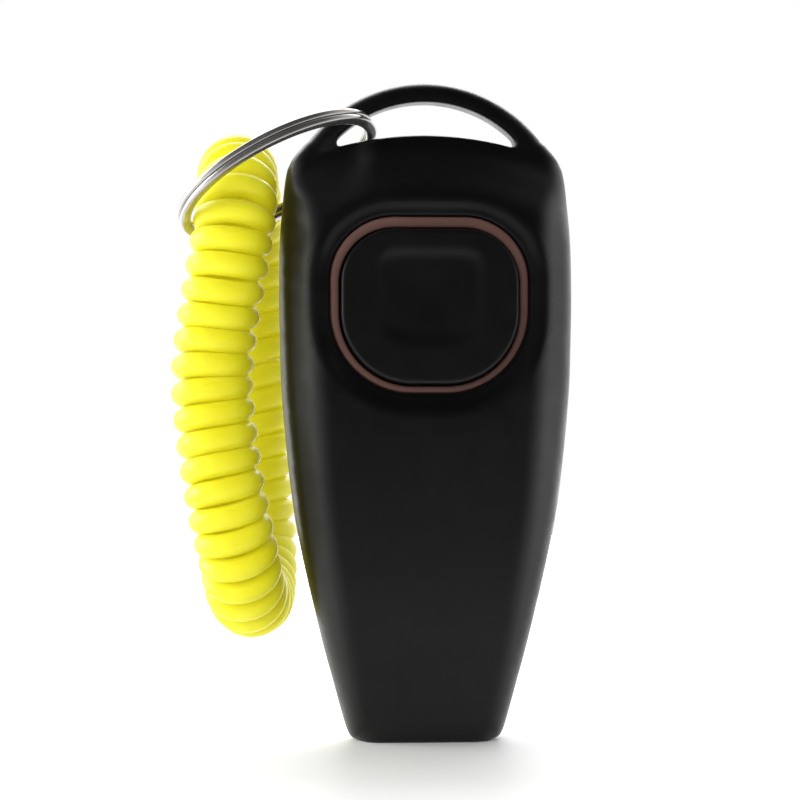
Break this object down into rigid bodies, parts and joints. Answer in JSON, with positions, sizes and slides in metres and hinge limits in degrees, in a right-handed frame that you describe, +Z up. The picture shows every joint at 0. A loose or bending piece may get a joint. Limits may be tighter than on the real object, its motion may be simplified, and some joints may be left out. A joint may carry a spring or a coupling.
{
  "type": "clicker trainer",
  "caption": "Hand-held dog training clicker with a whistle's mouthpiece, a thumb button, a split ring through its lanyard slot and a coiled wrist strap.",
  "frame": {"origin": "middle of the body's box at the mouthpiece's end, where the body stands", "axes": "+Z up the body from the mouthpiece to the arch, +X to the right seen from the button side, +Y from the button side to the back"},
  "size_m": [0.0457, 0.036, 0.075],
  "materials": {
    "case_plastic": "fine satin moulded ABS with glossy worn edges",
    "screw_steel": "plain zinc-plated steel",
    "bezel_plastic": "satin moulded plastic",
    "button_plastic": "satin moulded ABS with a bright edge",
    "spring_steel": "rolled spring steel",
    "anchor_zinc": "die-cast zinc",
    "insert_plastic": "moulded ABS",
    "ring_nickel": "bright nickel plate over steel",
    "cord_yellow": "translucent glossy thermoplastic cord",
    "sleeve_clear": "translucent shrunk sleeve"
  },
  "bodies": {
    "case": {"front_shell": "case_plastic", "rear_shell": "case_plastic", "case_screws": "screw_steel", "button_bezel": "bezel_plastic", "plate_anchor": "anchor_zinc", "anchor_screws": "screw_steel", "whistle_block": "insert_plastic", "whistle_plug": "insert_plastic"},
    "button": {"button_cap": "button_plastic"},
    "plate": {"click_plate": "spring_steel"},
    "ring": {"split_ring": "ring_nickel"},
    "strap": {"wrist_coil": "cord_yellow", "coil_sleeve": "sleeve_clear"}
  },
  "joints": [
    {"name": "button_press", "type": "slide", "parent": "case", "child": "button", "axis": [0, 1, 0], "range_m": [0, 0.0014], "stiffness_N_per_m": 1500, "springref_m": -0.0003},
    {"name": "plate_flex", "type": "hinge", "parent": "case", "child": "plate", "pos_m": [0, 0.0005, 0.0412], "axis": [-1, 0, 0], "range_deg": [0, 10.1]},
    {"name": "ring_swing", "type": "hinge", "parent": "case", "child": "ring", "pos_m": [-0.00633, 0, 0.0697], "axis": [0.8878, 0, 0.4602], "range_deg": [0, 25]},
    {"name": "strap_swing", "type": "hinge", "parent": "ring", "child": "strap", "pos_m": [-0.0211, 0.0087, 0.0575], "axis": [1, 0, 0], "range_deg": [0, 20]}
  ],
  "couplings": [
    {"joint": "plate_flex", "follows": "button_press", "rad_per_m": 125}
  ]
}
